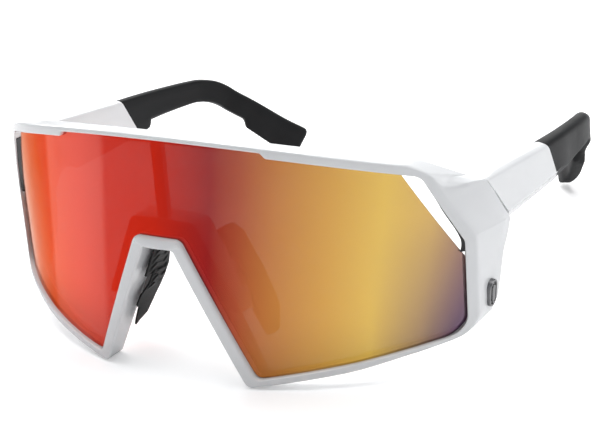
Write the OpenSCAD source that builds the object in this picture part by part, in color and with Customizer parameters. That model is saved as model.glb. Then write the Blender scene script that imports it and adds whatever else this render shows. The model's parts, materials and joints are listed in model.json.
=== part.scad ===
// Wraparound sport sunglasses: one curved shield lens in a full frame, folding
// temples with rubber sleeves, and a nose bridge with two adjustable pads.
// Drawn square to the lens (lens cylinder upright, front towards -Y, left and
// right are the wearer's, left is +X), then leaned back by stand() so that the
// frame's two lobes and the two temple tips rest on Z = 0.

/* [Lens] */
// Radius of the cylinder that the lens is bent to
lens_r = 88; // [84:1:110]
// Thickness of the lens
lens_t = 1.8; // [1.5:0.1:2.2]
// Width of the lens, straight across
lens_w = 131.2; // [104:0.4:158]
// Height of the lens at its lowest corner
lens_h = 58; // [48:1:70]
// Height where the straight vent cut meets the lens side
vent_low = 28.8; // [24:0.2:32]
// Distance of the vent cut's upper end from the lens side
vent_in = 11.6; // [8:0.2:13]

/* [Frame] */
// Height of the brow rim above the lens
brow_h = 1.3; // [1:0.1:3]
// Radius of the brow line in front view
brow_r = 205; // [180:5:260]
// How far the two brow tabs reach down over the lens
tab_drop = 1.2; // [0.6:0.1:2]
// Distance between the inner ends of the brow tabs
tab_gap = 58; // [46:1:70]
// Width of the lower rim
rim_h = 2; // [1.5:0.1:4]
// Width of the side rim
side_w = 2.2; // [1.6:0.1:4]
// How far the rim stands proud of the lens
proud = 1.2; // [0.6:0.1:2]
// Width of the ledge that the lens rests on
ledge_w = 1.5; // [1:0.1:2.5]
// Thickness of that ledge
ledge_t = 1; // [0.8:0.1:2]

/* [Nose] */
// Half width of the lens cut-out at the bridge
nose_half = 6.4; // [5:0.1:8]
// Height of the lens cut-out
nose_h = 34; // [28:0.5:40]
// Slope of the nose legs from upright
nose_slope = 25.5; // [20:0.5:30]
// Width of the nose legs across their slope
leg_w = 2.8; // [2:0.1:4]
// Depth of the nose legs, front to back
leg_d = 8; // [6:0.5:10]

/* [Temple] */
// How far the temples stand outside the sides of the lens
arm_out = 2.8; // [2.2:0.1:3.6]
// Thickness of the arm at the hinge
arm_t = 5.4; // [4.5:0.1:7]
// How far the arm's top edge lies below the frame's upper corner
arm_drop = 4.25; // [3.5:0.05:5.5]
// Height of the arm's outer face at the hinge
arm_h = 13.4; // [11:0.2:16]
// Length from the hinge to the rubber sleeve
sleeve_at = 32; // [25:1:40]
// Length from the sleeve to the ear bend
sleeve_l = 38; // [31:1:46]
// Length of the ear hook
hook_l = 40; // [33:1:48]
// Height and thickness of the sleeve at the ear bend
sleeve_h = 6.2; // [5:0.2:8]
sleeve_t = 3.8; // [3.2:0.1:5]
// Wall of the rubber sleeve
sleeve_wall = 1; // [0.7:0.1:1.2]

/* [Hinge] */
// Distance of the hinge axis behind the sides of the lens
hinge_back = 12.66; // [10.5:0.02:15.2]
// Radius of the hinge barrel
barrel_r = 2; // [1.6:0.1:2.4]
// Radius of the hinge screw's shank
screw_r = 0.7; // [0.5:0.05:0.9]
// Height of each of the two outer knuckles
knuckle_h = 3; // [2:0.1:4]
// Height of the middle knuckle
middle_h = 3.8; // [2:0.1:5]

/* [Fits] */
// Gap around the lens and other seated parts
seat_gap = 0.1; // [0.05:0.05:0.2]
// Running clearance of the hinge screw and the pad pins
run_gap = 0.05; // [0.03:0.01:0.08]
// Gap between parts that move past each other
move_gap = 0.25; // [0.2:0.05:0.4]

/* [Hidden] */

lens_half = lens_w/2;
lens_low = rim_h + 0.2;
lens_top = lens_low + lens_h;
frame_r = lens_r + proud;
lens_back_r = lens_r - lens_t;
ledge_r = lens_back_r - ledge_t;
frame_half = lens_half + side_w;
leg_run = tan(nose_slope);
leg_out = leg_w/cos(nose_slope);
nose_z = lens_low + nose_h;
lobe_x = nose_half + nose_h*leg_run;
corner_z = lens_low + 9;
vent_x = lens_half - vent_in;

function sq(x) = x*x;
// Drop of a circle of radius r at distance x from its crown
function sag(r, x) = r - sqrt(r*r - x*x);
// Height of the lens edge under the brow
function lens_brow(x) = lens_top - sag(brow_r, x);
// Depth of an upright cylinder of radius r, centred on the lens axis
function depth_at(r, x) = lens_r - sqrt(r*r - x*x);

// Rounded outlines: a corner is [x, z, radius]
function unit(v) = v/norm(v);
function xz(p) = [p[0], p[1]];
function arc_at(a, p, b, r, n) = let (u = unit(xz(a) - xz(p)), v = unit(xz(b) - xz(p)),
        half = acos(u*v)/2, run = min(r/tan(half), norm(xz(a) - xz(p))*0.49, norm(xz(b) - xz(p))*0.49),
        rr = run*tan(half), c = xz(p) + unit(u + v)*rr/sin(half),
        s = xz(p) + u*run - c, e = xz(p) + v*run - c, turn = acos(max(-1, min(1, unit(s)*unit(e)))))
    [for (i = [0:n]) c + (s*sin(turn*(1 - i/n)) + e*sin(turn*i/n))/sin(turn)];
function rounded(c, n = 6) = let (k = len(c))
    [for (i = [0:k - 1]) each (c[i][2] <= 0 ? [xz(c[i])] : arc_at(c[(i + k - 1)%k], c[i], c[(i + 1)%k], c[i][2], n))];
// Moves every edge of a clockwise outline inwards by d
function side_n(a, b) = let (u = unit(xz(b) - xz(a))) [u[1], -u[0]];
function inset(c, d) = let (k = len(c)) [for (i = [0:k - 1])
    let (n1 = side_n(c[(i + k - 1)%k], c[i]), n2 = side_n(c[i], c[(i + 1)%k]),
        q = xz(c[i]) + d*(n1 + n2)/(1 + n1*n2), turn = side_n(c[i], c[(i + 1)%k])*unit(xz(c[(i + k - 1)%k]) - xz(c[i])))
    [q[0], q[1], c[i][2] <= 0 ? 0 : max(0.2, c[i][2] + (turn > 0 ? -d : d))]];
// Completes the right half of an outline with its mirror image
function both(c) = concat(c, [for (i = [len(c) - 1:-1:0]) [-c[i][0], c[i][1], c[i][2]]]);

brow_steps = 7;
bottom_mid = [45, corner_z - 4.7];
// Right half of the lens, from the brow round to the nose cut-out
lens_half_low = [[lens_half, corner_z, 5], [bottom_mid[0], bottom_mid[1], 200],
    [lobe_x, lens_low, 1.8], [nose_half, nose_z, 2.4]];
function brow_pts(x1, up) = [for (i = [0.5:brow_steps]) let (x = x1*i/brow_steps) [x, lens_brow(x) + up, 0]];
lens_edge = both(concat(brow_pts(vent_x, 0), [[vent_x, lens_brow(vent_x), 0.6], [lens_half, vent_low, 1.5]],
    lens_half_low));
// The same outline before its vent corners are cut off
lens_whole = both(concat(brow_pts(lens_half, 0), [[lens_half, lens_brow(lens_half), 0]], lens_half_low));
// The opening in the frame, with the vent gap beyond the lens corner
vent_top = [vent_x + 4.5, lens_brow(vent_x + 4.5) - tab_drop, 3];
vent_turn = [lens_half, vent_low + 4.8, 4];
opening_edge = both(concat(brow_pts(vent_x, 0), [[vent_x + 0.5, lens_brow(vent_x + 0.5) + 0.1, 0], vent_top, vent_turn],
    lens_half_low));
// The vent's outer edge at height z
function vent_out(z) = vent_turn[0] - (z - vent_turn[1])*(vent_turn[0] - vent_top[0])/(vent_top[1] - vent_turn[1]);
// Liner along that edge, which widens into the latch behind the lens
liner_w = 0.42;
latch_edge = [[vent_top[0] - 0.4, vent_top[1] - 1.6, 0], [vent_top[0] + 0.7, vent_top[1] - 1.6, 0],
    [vent_turn[0] - seat_gap, vent_turn[1], 2], [lens_half - seat_gap, vent_low - 6, 0],
    [lens_half - 3.4, vent_low - 6, 0], [lens_half - 2.9, vent_low + 3.4, 2],
    [vent_out(vent_low + 7.6) - liner_w, vent_low + 7.6, 2]];
// Front face of the frame
fold_top = [frame_half - 7.2, lens_brow(frame_half - 7.2) + brow_h - 1.7, 0];
fold_low = [frame_half, vent_low + 5.7, 0];
frame_edge = both(concat(brow_pts(fold_top[0] - 4, brow_h), [fold_top, fold_low, [frame_half, corner_z - 0.2, 3],
    [bottom_mid[0], bottom_mid[1] - rim_h, 200], [lobe_x - leg_out + 0.9, 0, 1.8],
    [nose_half - leg_out + 1, nose_z - leg_w, 1.2]]));

// Hinge and arm
arm_half = lens_half + arm_out;
arm_top = fold_top[1] - arm_drop;
hinge_y = depth_at(lens_r, lens_half) + hinge_back;
arm_in = arm_half - arm_t;
hinge_x = arm_in - 0.3;
hinge_low = arm_top - arm_h + 0.5;
hinge_top = hinge_low + 2*knuckle_h + middle_h;
seam_y = hinge_y - 6.7;
seam_run = 0.925;
seam_angle = atan(seam_run);
arm_slope = 5.1;
arm_rise = 1;

// Leaned back onto the lobes and the two temple tips, and centred from front to back
module stand()
    translate([0, -stand_mid, foot_y*sin(stand_tilt) - lobe_round])
        rotate([-stand_tilt, 0, 0]) children();
module side(s) if (s < 0) mirror([1, 0, 0]) children(); else children();

// Wall between two radii of the lens cylinder
module shell(r_in, r_out, low = -5, high = 90)
    translate([0, lens_r, low]) linear_extrude(high - low) difference() {
        circle(r = r_out, $fn = 180);
        circle(r = r_in, $fn = 180);
        translate([-2*lens_r, lens_r*0.05 - lens_r*0.35]) square([4*lens_r, 2*lens_r]);
    }
// Front-view outline pushed through from front to back
module through(edge, from = -20, to = 70)
    translate([0, to, 0]) rotate([90, 0, 0]) linear_extrude(to - from) polygon(rounded(edge));

// Everything beyond the plane through three points, on the side its normal points to
module beyond(a, b, c) {
    n = unit(cross(b - a, c - a));
    translate(a) rotate([0, acos(n[2]), atan2(n[1], n[0])])
        translate([-lens_r, -lens_r, 0]) cube([2*lens_r, 2*lens_r, lens_r/4]);
}

// Rim and nose walls in one blank: the walls run back behind the bridge and legs
module frame_blank() {
    intersection() {
        shell(ledge_r, frame_r);
        through(frame_edge);
    }
    intersection() {
        shell(lens_r - 14, frame_r);
        through(frame_edge, -5, leg_d - 1);
        translate([-wall_half, -5, -5]) cube([2*wall_half, 30, nose_z + 8]);
        through(both([[wall_half + 3, -6, 0], [-0.1, nose_z + 70, 0]]));
    }
}
wall_half = lobe_x + ledge_w;
module front_ring() difference() {
    frame_blank();
    // recess for the lens, with the vent gap beyond the lens corner
    intersection() {
        shell(lens_back_r - seat_gap, frame_r + 9);
        through(inset(opening_edge, -seat_gap));
    }
    // clear view behind, inside the ledge
    through(inset(lens_edge, ledge_w));
    for (s = [-1, 1]) side(s) through([[vent_x - 3, lens_brow(vent_x) - 3, 0], [vent_x, lens_brow(vent_x) - 1, 0],
        vent_top, vent_turn, [lens_half, vent_low + 2, 0], [lens_half - ledge_w, vent_low - 1, 0],
        [lens_half - 8, vent_low + 2, 0]]);
}

// Tabs that reach down over the lens at both ends of the brow
module brow_tabs() {
    x0 = tab_gap/2;
    x1 = vent_top[0] - 0.5;
    for (s = [-1, 1]) side(s) intersection() {
        shell(lens_r + seat_gap, frame_r);
        translate([0, 70, 0]) rotate([90, 0, 0]) linear_extrude(90)
            polygon(concat([[x0 - 1.4, lens_brow(x0 - 1.4) + 0.4]],
                [for (i = [0:4]) let (x = x0 + (x1 - x0)*i/4) [x, lens_brow(x) - tab_drop]],
                [for (i = [4:-1:0]) let (x = x0 + (x1 - x0)*i/4) [x, lens_brow(x) + 0.4]]));
    }
}

// Bright plate on the bridge, a little proud of the legs
module bridge_plate() intersection() {
    through(both([[nose_half - 0.8, nose_z - 0.3, 1.6], [nose_half, nose_z - 2, 0.3],
        [nose_half*0.5, nose_z - 2.6, 3]]), -6, 1);
    shell(lens_r + 0.2, frame_r + 0.4);
}

// Side lug from the rim back to the hinge seam, seen from above and from the side
fold_a = [fold_top[0], depth_at(frame_r, fold_top[0]), fold_top[1]];
fold_b = [fold_low[0], depth_at(frame_r, fold_low[0]), fold_low[1]];
seam_top = [arm_half, seam_y + 1.4, arm_top];
brow_end = [fold_top[0] - 8, depth_at(frame_r, fold_top[0] - 8), lens_brow(fold_top[0] - 8) + brow_h];
lean = 6;
side_wall = 1.2;
function lug_face(z) = arm_half + 0.9 - (fold_low[1] - z)*tan(lean);
module lug() {
    x0 = fold_top[0] - 1;
    back_y = depth_at(ledge_r, x0);
    side_edge = [[back_y - 12, fold_top[1] + 3], [back_y, fold_top[1] + 0.5], [seam_y - 2, arm_top + arm_rise + 0.6],
        [seam_y + 1, arm_top + arm_rise], [seam_y + 8, arm_top + arm_rise],
        [hinge_y + 7.4, hinge_low - 3], [hinge_y + 3.2, hinge_low - 5.5], [hinge_y + 1.2, corner_z + 12],
        [hinge_y - 1.8, corner_z + 4.6], [hinge_y - 4.2, corner_z + 2], [hinge_y - 12, corner_z + 0.9],
        [12, corner_z + 0.9]];
    difference() {
        intersection() {
            linear_extrude(80) polygon([[x0, 12], [arm_half + 0.7, 12], [arm_half + 0.7, hinge_y + 12],
                [arm_in, hinge_y + 12], [arm_in, depth_at(ledge_r, arm_in)], [x0, back_y - 0.4]]);
            translate([0, lens_r, 0]) cylinder(r = frame_r, h = 90, $fn = 180);
            translate([x0 - 1, 0, 0]) rotate([90, 0, 90]) linear_extrude(30) polygon(side_edge);
        }
        // slanting seam
        translate([x0 - 1, seam_y - move_gap, arm_top]) rotate([seam_angle, 0, 0])
            translate([0, 0, -60]) cube([40, 60, 120]);
        // opening in front, pocket for the hinge barrel
        intersection() {
            through(inset(opening_edge, -seat_gap));
            translate([0, -20, 0]) cube([lens_half + 5, 20 + depth_at(lens_back_r, lens_half) + 1.4, 90]);
        }
        translate([hinge_x, hinge_y, hinge_low - move_gap])
            cylinder(r = barrel_r + move_gap, h = hinge_top - hinge_low + 9, $fn = 48);
        // upper facet, top face and the lower face that slopes in below the ridge
        beyond(fold_a, fold_b, seam_top);
        beyond(brow_end, fold_a, seam_top);
        translate([lug_face(fold_low[1]), 0, fold_low[1]]) rotate([0, lean, 0])
            translate([0, 0, -60]) cube([20, 80, 60.7]);
        // inside of the lug is hollowed behind the lens
        translate([x0 - 1, depth_at(lens_back_r, lens_half) + 1.4, -1])
            cube([lens_half - side_wall - x0 + 1, 50, hinge_low - 4]);
    }
}
// Badge: a plain metal plate with round ends, let into the lug's lower face
badge_l = 7;
badge_w = 4.4;
badge_t = 1;
badge_proud = 0.3;
badge_at = [lug_face(corner_z + 6.6), hinge_y - 5.2, corner_z + 6.6];
module badge_cut(grow) translate(badge_at) rotate([0, lean, 0]) rotate([90, 0, 90])
    translate([0, 0, badge_proud - badge_t - grow]) linear_extrude(badge_t + grow + (grow > 0 ? 2 : 0)) {
        for (e = [-1, 1]) translate([0, e*(badge_l - badge_w)/2]) circle(r = badge_w/2 + grow, $fn = 40);
        square([badge_w + 2*grow, badge_l - badge_w], center = true);
    }
module badge(s) color("dimgray") side(s) badge_cut(0);

module front_frame() color("white") {
    difference() {
        union() {
            front_ring();
            brow_tabs();
            bridge_plate();
            for (s = [-1, 1]) side(s) lug();
        }
        // seats for the lens latches and the badges
        for (s = [-1, 1]) side(s) {
            latch_body(seat_gap, 1);
            badge_cut(seat_gap);
        }
    }
}

module shield_lens() color("orangered", 0.8) difference() {
    intersection() {
        shell(lens_back_r, lens_r);
        through(lens_whole);
    }
    for (s = [-1, 1]) side(s) vent_cut(0);
}
// Square cut across the lens for the vent
module vent_cut(gap) {
    a = [vent_x + gap, depth_at(lens_r, vent_x + gap), lens_brow(vent_x)];
    b = [lens_half + gap, depth_at(lens_r, lens_half + gap), vent_low];
    mid = (a + b)/2;
    beyond(a, a + [mid[0], mid[1] - lens_r, 0], b);
}

// Black latch that lines the vent and holds the lens at the vent's foot
module latch_body(g, deep = 0) intersection() {
    shell(ledge_r - 0.8 - g - deep, frame_r - 0.9 + g);
    through(inset(latch_edge, -g));
}
module lens_latch(s) color("black") side(s) difference() {
    latch_body(0);
    difference() {
        intersection() {
            shell(lens_back_r - seat_gap, frame_r);
            through(inset(lens_whole, -seat_gap));
        }
        vent_cut(seat_gap*2);
    }
}

// Hinge: barrel on an upright axis at the inner face of the arm
leaf_t = 1.2;
module leaf_plate(y0, y1, low, high)
    translate([arm_in - leaf_t, y0, low]) cube([leaf_t, y1 - y0, high - low]);
module hinge_leaf(s) color("silver") side(s) {
    for (low = [hinge_low, hinge_top - knuckle_h]) difference() {
        union() {
            translate([hinge_x, hinge_y, low]) cylinder(r = barrel_r, h = knuckle_h, $fn = 48);
            leaf_plate(hinge_y - 9, hinge_y, low, low + knuckle_h);
        }
        translate([hinge_x, hinge_y, low - 1]) cylinder(r = screw_r + run_gap, h = knuckle_h + 2, $fn = 32);
    }
    leaf_plate(hinge_y - 9, hinge_y - barrel_r - 2*move_gap, hinge_low, hinge_top);
}
module temple_leaf(s) color("silver") side(s) {
    low = hinge_low + knuckle_h + 0.1;
    high = hinge_top - knuckle_h - 0.1;
    difference() {
        union() {
            translate([hinge_x, hinge_y, low]) cylinder(r = barrel_r, h = high - low, $fn = 48);
            leaf_plate(hinge_y, hinge_y + 10, low, high);
        }
        translate([hinge_x, hinge_y, low - 1]) cylinder(r = screw_r + run_gap, h = high - low + 2, $fn = 32);
    }
}
module hinge_screw(s) color("gray") side(s) {
    translate([hinge_x, hinge_y, hinge_low - 0.2]) cylinder(r = screw_r, h = hinge_top - hinge_low + 0.3, $fn = 32);
    difference() {
        translate([hinge_x, hinge_y, hinge_top + 0.05]) cylinder(r = barrel_r - 0.4, h = 0.8, $fn = 32);
        translate([hinge_x - 2, hinge_y - 0.2, hinge_top + 0.5]) cube([4, 0.4, 1]);
    }
}

// A loft through eight-sided sections
module loft(rings) {
    n = len(rings[0]);
    m = len(rings);
    polyhedron(points = [for (r = rings) each r],
        faces = concat([[for (i = [n - 1:-1:0]) i]], [[for (i = [0:n - 1]) (m - 1)*n + i]],
            [for (j = [0:m - 2]) for (i = [0:n - 1])
                each [[j*n + i, j*n + (i + 1)%n, (j + 1)*n + (i + 1)%n], [j*n + i, (j + 1)*n + (i + 1)%n, (j + 1)*n + i]]]),
        convexity = 4);
}
// Section hung from its top outer corner: heading turns it inwards, pitch tips it down
function section(at, heading, pitch, t, h, g, cut) =
    let (ahead = [-sin(heading)*cos(pitch), cos(heading)*cos(pitch), -sin(pitch)],
        inward = [-cos(heading), -sin(heading), 0], down = cross(inward, ahead),
        c = min(cut, t*0.4), u = [for (q = [[c, 0], [t - c, 0], [t, c], [t, h - c], [t - c, h], [c, h], [0, h - c], [0, c]])
            [g + q[0]*(t - 2*g)/t, g + q[1]*(h - 2*g)/h]])
    [for (q = u) at + inward*q[0] + down*q[1]];

// Stations of the arm's top outer edge: place, heading, pitch, thickness, height
sleeve_y = hinge_y + sleeve_at;
bend_y = sleeve_y + sleeve_l;
function top_z(y) = arm_top - (y - seam_y)*tan(arm_slope);
slim = 4;
sleeve_path = [
    [[arm_half - 0.3, sleeve_y, top_z(sleeve_y)], 3, 5, slim, 9.6],
    [[arm_half - 1.1, sleeve_y + 12, top_z(sleeve_y + 12)], 5, 5.5, slim, 8.6],
    [[arm_half - 1.2, sleeve_y + 13.5, top_z(sleeve_y + 13.5)], 5, 5.5, slim, 7.1],
    [[arm_half - 2.2, sleeve_y + 24, top_z(sleeve_y + 24) - 0.1], 6, 6, sleeve_t, 6.5],
    [[arm_half - 3.3, sleeve_y + 33, top_z(sleeve_y + 33) - 0.3], 8, 8, sleeve_t, sleeve_h],
    [[arm_half - 4.6, bend_y + 0.6, top_z(bend_y) - 0.9], 14, 17, sleeve_t, sleeve_h],
    [[arm_half - 6.6, bend_y + 6.6, top_z(bend_y) - 2.7], 22, 28, sleeve_t, sleeve_h]];
// The hook runs on straight from its first station
hook_from = [arm_half - 8.2, bend_y + 11, top_z(bend_y) - 5.2];
hook_heading = 27;
hook_pitch = 36;
function hook_at(run) = hook_from + run*[-sin(hook_heading)*cos(hook_pitch), cos(hook_heading)*cos(hook_pitch),
    -sin(hook_pitch)];
hook_run = hook_l - 7;
heel_h = sleeve_h + 3;
hook_path = [for (q = [[0, sleeve_h], [hook_run*0.5, sleeve_h + 0.2], [hook_run*0.56, sleeve_h + 1.8],
    [hook_run - 1.5, heel_h], [hook_run, sleeve_h + 1]])
    [hook_at(q[0]), hook_heading, hook_pitch, sleeve_t, q[1]]];
arm_path = concat(sleeve_path, hook_path);

// Standing: the lobes touch the ground at foot_y, the hooks at the lower corner of their last full section
foot_y = leg_d - 1;
// How far the round corners of the lobes and of the hooks lie above their outlines' corners
lobe_round = 0.218;
heel_round = 0.011;
heel_y = hook_at(hook_run - 1.5)[1] - heel_h*cos(hook_heading)*sin(hook_pitch);
heel_z = hook_at(hook_run - 1.5)[2] - heel_h*cos(hook_pitch) + heel_round;
stand_tilt = atan2(heel_z, heel_y - foot_y) - asin(lobe_round/norm([heel_z, heel_y - foot_y]));
// Front of the bridge plate as it stands
front_y = 0.05;
stand_mid = (hook_at(hook_run)[1]*cos(stand_tilt) + hook_at(hook_run)[2]*sin(stand_tilt) + front_y)/2;
function stations(from, to, g, cut) = [for (i = [from:to]) let (p = arm_path[i])
    section(p[0], p[1], p[2], p[3], p[4], g, cut)];

// Slanting front edge of the sleeve
module sleeve_side(gap) translate([30, sleeve_y + gap - 3, arm_top]) rotate([40, 0, 0])
    translate([0, 0, -160]) cube([60, 250, 220]);
arm_core = sleeve_wall + seat_gap;
tongue_from = arm_path[0][0] + [0, -6, 0.5];
module temple(s) color("white") side(s) {
    front = [for (q = [[seam_y - 3, 0], [sleeve_y + 14, 1]])
        let (y = q[0], z = top_z(y), t = arm_t - 1.2*q[1], x = arm_half - 0.6*q[1], h = arm_h - 2.6*q[1])
        [[x - 1, y, z], [x - t, y, z], [x - t, y, z - h - 2.2], [x - t + 0.4, y, z - h - 2.6],
            [x - 2, y, z - h - 2.6 + 1.4*q[1]], [x + 0.6 - 0.3*q[1], y, z - h], [x, y, z - 1.2], [x - 0.3, y, z - 0.4]]];
    difference() {
        loft(front);
        // seam with the lug
        translate([arm_in - 10, seam_y, arm_top]) rotate([seam_angle, 0, 0])
            translate([0, -60, -60]) cube([40, 60, 120]);
        sleeve_side(0);
        translate([hinge_x, hinge_y, hinge_low - 4])
            cylinder(r = barrel_r + move_gap, h = hinge_top - hinge_low + 12, $fn = 48);
    }
    // tongue that carries the sleeve
    loft(concat([section(tongue_from, 3, 5, slim, 9.6, arm_core, 0.6)],
        stations(1, len(arm_path) - 2, arm_core, 0.6)));
}
module temple_sleeve(s) color("dimgray") side(s) difference() {
    intersection() {
        loft(concat([section(arm_path[0][0] + [0.1, -4, 0.4], 3, 5, slim + 0.2, 9.9, 0, 0.9)],
            stations(0, len(arm_path) - 1, 0, 0.9)));
        sleeve_side(seat_gap);
    }
    loft(concat([section(tongue_from, 3, 5, slim, 9.6, sleeve_wall, 0.6)],
        stations(1, len(arm_path) - 2, sleeve_wall, 0.6)));
}

// Nose bridge behind the lens: arch over the nose walls, stem up to the brow, pad ears
stem_w = 3;
stem_t = 1.6;
pad_at = [nose_half + 12*leg_run + 2.2, leg_d + 1.6, nose_z - 12];
pad_pin_r = 0.9;
pad_pin_l = 9;
band_w = 2.2;
// Outline of the nose cut-out grown by d, down to height low
function nose_line(d, low, r) = both([[nose_half + d*(1/cos(nose_slope) - leg_run), nose_z + d, r],
    [nose_half + (nose_z - low)*leg_run + d/cos(nose_slope), low, 0]]);
module pad_axis() translate(pad_at) rotate([0, 180 - nose_slope, 0]) children();
module nose_bridge() color("gainsboro") {
    difference() {
        union() {
            difference() {
                through(nose_line(ledge_w + seat_gap + band_w, nose_z - 18, 3), 0, leg_d + 1);
                through(nose_line(ledge_w + seat_gap, nose_z - 20, 2), -1, leg_d + 2);
                shell(lens_back_r - seat_gap, frame_r + leg_d);
            }
            translate([-stem_w/2, depth_at(ledge_r, stem_w/2) + seat_gap, nose_z + ledge_w + 1])
                cube([stem_w, stem_t, lens_top - nose_z - ledge_w - 0.8]);
            for (s = [-1, 1]) side(s) pad_axis() for (z = [-1, 1])
                translate([0, 0, z*3.4 - 1]) cylinder(r = 1.7, h = 2, $fn = 32);
        }
        for (s = [-1, 1]) side(s) pad_axis() {
            translate([0, 0, -pad_pin_l/2 - 1]) cylinder(r = pad_pin_r + run_gap, h = pad_pin_l + 2, $fn = 32);
            translate([0, 0, -2.3]) cylinder(r = 2.2, h = 4.6, $fn = 32);
        }
    }
}
module nose_pad_core(s) color("black") side(s) pad_axis() {
    translate([0, 0, -pad_pin_l/2]) cylinder(r = pad_pin_r, h = pad_pin_l, $fn = 32);
    translate([-0.6, 0, -2]) cube([1.2, 5, 4]);
    translate([-0.6, 3, -9]) cube([1.2, 4.5, 20]);
}
// Soft pad around the core's plate, wider at the foot
module nose_pad(s) color("dimgray") side(s) pad_axis() difference() {
    loft([for (q = [[-12, 2.4, 1.6, 4], [-9, 3, 2, 6.6], [2, 3.4, 2, 7], [11, 3, 2, 6.6], [16, 2, 1.6, 3]])
        let (z = q[0], a = q[1]/2, c = q[3])
        [[-a, 2.4, z], [a, 2.4, z], [a + 0.4, 2.9, z], [a + 0.4, 2 + c, z], [a, 2.6 + c, z], [-a, 2.6 + c, z],
            [-a - 0.4, 2 + c, z], [-a - 0.4, 2.9, z]]]);
    translate([-0.6 - seat_gap, 1, -9 - seat_gap]) cube([1.2 + 2*seat_gap, 6.6, 20 + 2*seat_gap]);
}

module lens_latch_left() lens_latch(1);
module lens_latch_right() lens_latch(-1);
module badge_left() badge(1);
module badge_right() badge(-1);
module nose_pad_core_left() nose_pad_core(1);
module nose_pad_core_right() nose_pad_core(-1);
module nose_pad_left() nose_pad(1);
module nose_pad_right() nose_pad(-1);
module hinge_leaf_left() hinge_leaf(1);
module hinge_leaf_right() hinge_leaf(-1);
module hinge_screw_left() hinge_screw(1);
module hinge_screw_right() hinge_screw(-1);
module temple_leaf_left() temple_leaf(1);
module temple_leaf_right() temple_leaf(-1);
module temple_left() temple(1);
module temple_right() temple(-1);
module temple_sleeve_left() temple_sleeve(1);
module temple_sleeve_right() temple_sleeve(-1);

stand() front_frame();
stand() shield_lens();
stand() lens_latch_left();
stand() lens_latch_right();
stand() badge_left();
stand() badge_right();
stand() nose_bridge();
stand() nose_pad_core_left();
stand() nose_pad_core_right();
stand() nose_pad_left();
stand() nose_pad_right();
stand() hinge_leaf_left();
stand() hinge_leaf_right();
stand() hinge_screw_left();
stand() hinge_screw_right();
stand() temple_leaf_left();
stand() temple_leaf_right();
stand() temple_left();
stand() temple_right();
stand() temple_sleeve_left();
stand() temple_sleeve_right();
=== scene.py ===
import bpy
import bmesh
import json
import math
from mathutils import Matrix, Vector

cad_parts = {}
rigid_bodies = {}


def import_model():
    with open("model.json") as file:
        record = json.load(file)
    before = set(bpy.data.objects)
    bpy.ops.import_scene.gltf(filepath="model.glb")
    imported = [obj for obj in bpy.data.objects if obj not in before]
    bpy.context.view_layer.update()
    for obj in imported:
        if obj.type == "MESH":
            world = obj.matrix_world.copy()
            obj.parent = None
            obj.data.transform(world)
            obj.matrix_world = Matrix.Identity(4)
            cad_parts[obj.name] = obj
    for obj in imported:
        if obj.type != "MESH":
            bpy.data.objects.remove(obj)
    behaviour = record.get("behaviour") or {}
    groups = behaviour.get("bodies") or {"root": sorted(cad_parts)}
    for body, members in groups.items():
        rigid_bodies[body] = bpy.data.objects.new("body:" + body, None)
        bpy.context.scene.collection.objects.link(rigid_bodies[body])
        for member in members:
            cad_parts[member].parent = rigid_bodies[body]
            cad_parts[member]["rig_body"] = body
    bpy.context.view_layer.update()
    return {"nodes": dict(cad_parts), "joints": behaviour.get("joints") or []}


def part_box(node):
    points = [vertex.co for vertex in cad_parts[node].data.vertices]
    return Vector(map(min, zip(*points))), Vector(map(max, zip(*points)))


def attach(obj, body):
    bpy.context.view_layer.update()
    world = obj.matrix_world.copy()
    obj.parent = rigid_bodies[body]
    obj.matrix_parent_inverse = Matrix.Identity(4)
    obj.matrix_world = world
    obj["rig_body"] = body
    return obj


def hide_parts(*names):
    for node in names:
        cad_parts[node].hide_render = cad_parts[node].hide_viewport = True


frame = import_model()
nodes = frame["nodes"]
joints = {joint["name"]: joint for joint in frame["joints"]}
mm = 0.001
print("frame loaded:", len(nodes), "nodes")


# where things are

# The glasses are drawn square to the lens and then leaned back: the hinge axis gives the lean and the place
hinge = joints["temple_left_fold"]
hingeOnLens = Vector((62.7, 42.003, 38.388))
lean = math.atan2(hinge["axis"][1], hinge["axis"][2])
leanMatrix = Matrix.Rotation(-lean, 4, "X")
stand = Matrix.Translation(Vector(hinge["pos_m"]) - leanMatrix @ (hingeOnLens * mm)) @ leanMatrix
lensRadius = 88.0


def standUp(bm):
    # from millimetres square to the lens to metres on the floor
    bmesh.ops.scale(bm, vec=(mm, mm, mm), verts=bm.verts)
    bmesh.ops.transform(bm, matrix=stand, verts=bm.verts)


# camera

cameraSet = {
    "place": (0.20699, -0.33484, 0.17790),
    "right": (0.8618, 0.4972, -0.1002),
    "up": (-0.1166, 0.3865, 0.9149),
    "lens": 93.0,
}


def makeCamera():
    data = bpy.data.cameras.new("camera")
    data.lens = cameraSet["lens"]
    data.sensor_width = 36.0
    data.clip_start = 0.01
    camera = bpy.data.objects.new("camera", data)
    right = Vector(cameraSet["right"]).normalized()
    up = Vector(cameraSet["up"])
    up = (up - right * up.dot(right)).normalized()
    turn = Matrix((right, up, right.cross(up))).transposed().to_4x4()
    camera.matrix_world = Matrix.Translation(cameraSet["place"]) @ turn
    bpy.context.scene.collection.objects.link(camera)
    bpy.context.scene.camera = camera


# shader helpers

def newMaterial(name):
    material = bpy.data.materials.new(name)
    material.use_nodes = True
    return material, material.node_tree.nodes, material.node_tree.links, material.node_tree.nodes["Principled BSDF"]


def addNode(tree, kind, place=(0, 0), **values):
    made = tree.nodes.new(kind)
    made.location = place
    for key, value in values.items():
        if hasattr(made, key):
            setattr(made, key, value)
        else:
            made.inputs[key].default_value = value
    return made


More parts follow.
